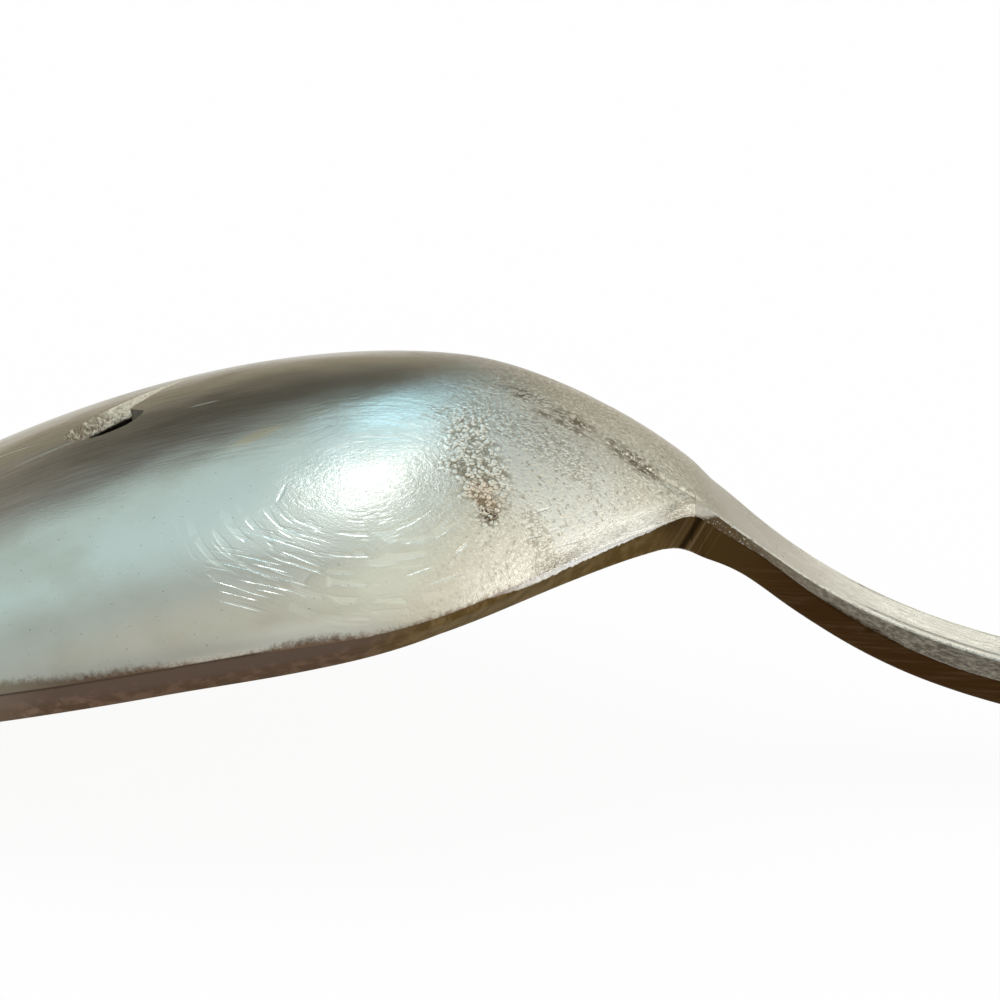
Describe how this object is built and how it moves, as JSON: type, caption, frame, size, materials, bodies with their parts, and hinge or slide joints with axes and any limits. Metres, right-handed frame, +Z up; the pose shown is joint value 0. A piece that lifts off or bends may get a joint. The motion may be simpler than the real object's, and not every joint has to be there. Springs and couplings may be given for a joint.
{
  "type": "bonbon spoon",
  "caption": "Small serving spoon for sweets: a round, pierced bowl soldered in a half lap to a slim bevelled handle, lying face down on its tip and handle end",
  "frame": {"origin": "On the table under the middle of the spoon's length, on its middle plane.", "axes": "X runs along the spoon from the bowl's tip to the handle's end, Y across it and Z up; the spoon lies face down, its back up."},
  "size_m": [0.116, 0.0334, 0.0155],
  "materials": {
    "bowl_silver": "satin",
    "handle_silver": "satin",
    "solder": "matte"
  },
  "bodies": {
    "root": {"bowl": "bowl_silver", "handle": "handle_silver", "solder_seam": "solder"}
  },
  "joints": []
}
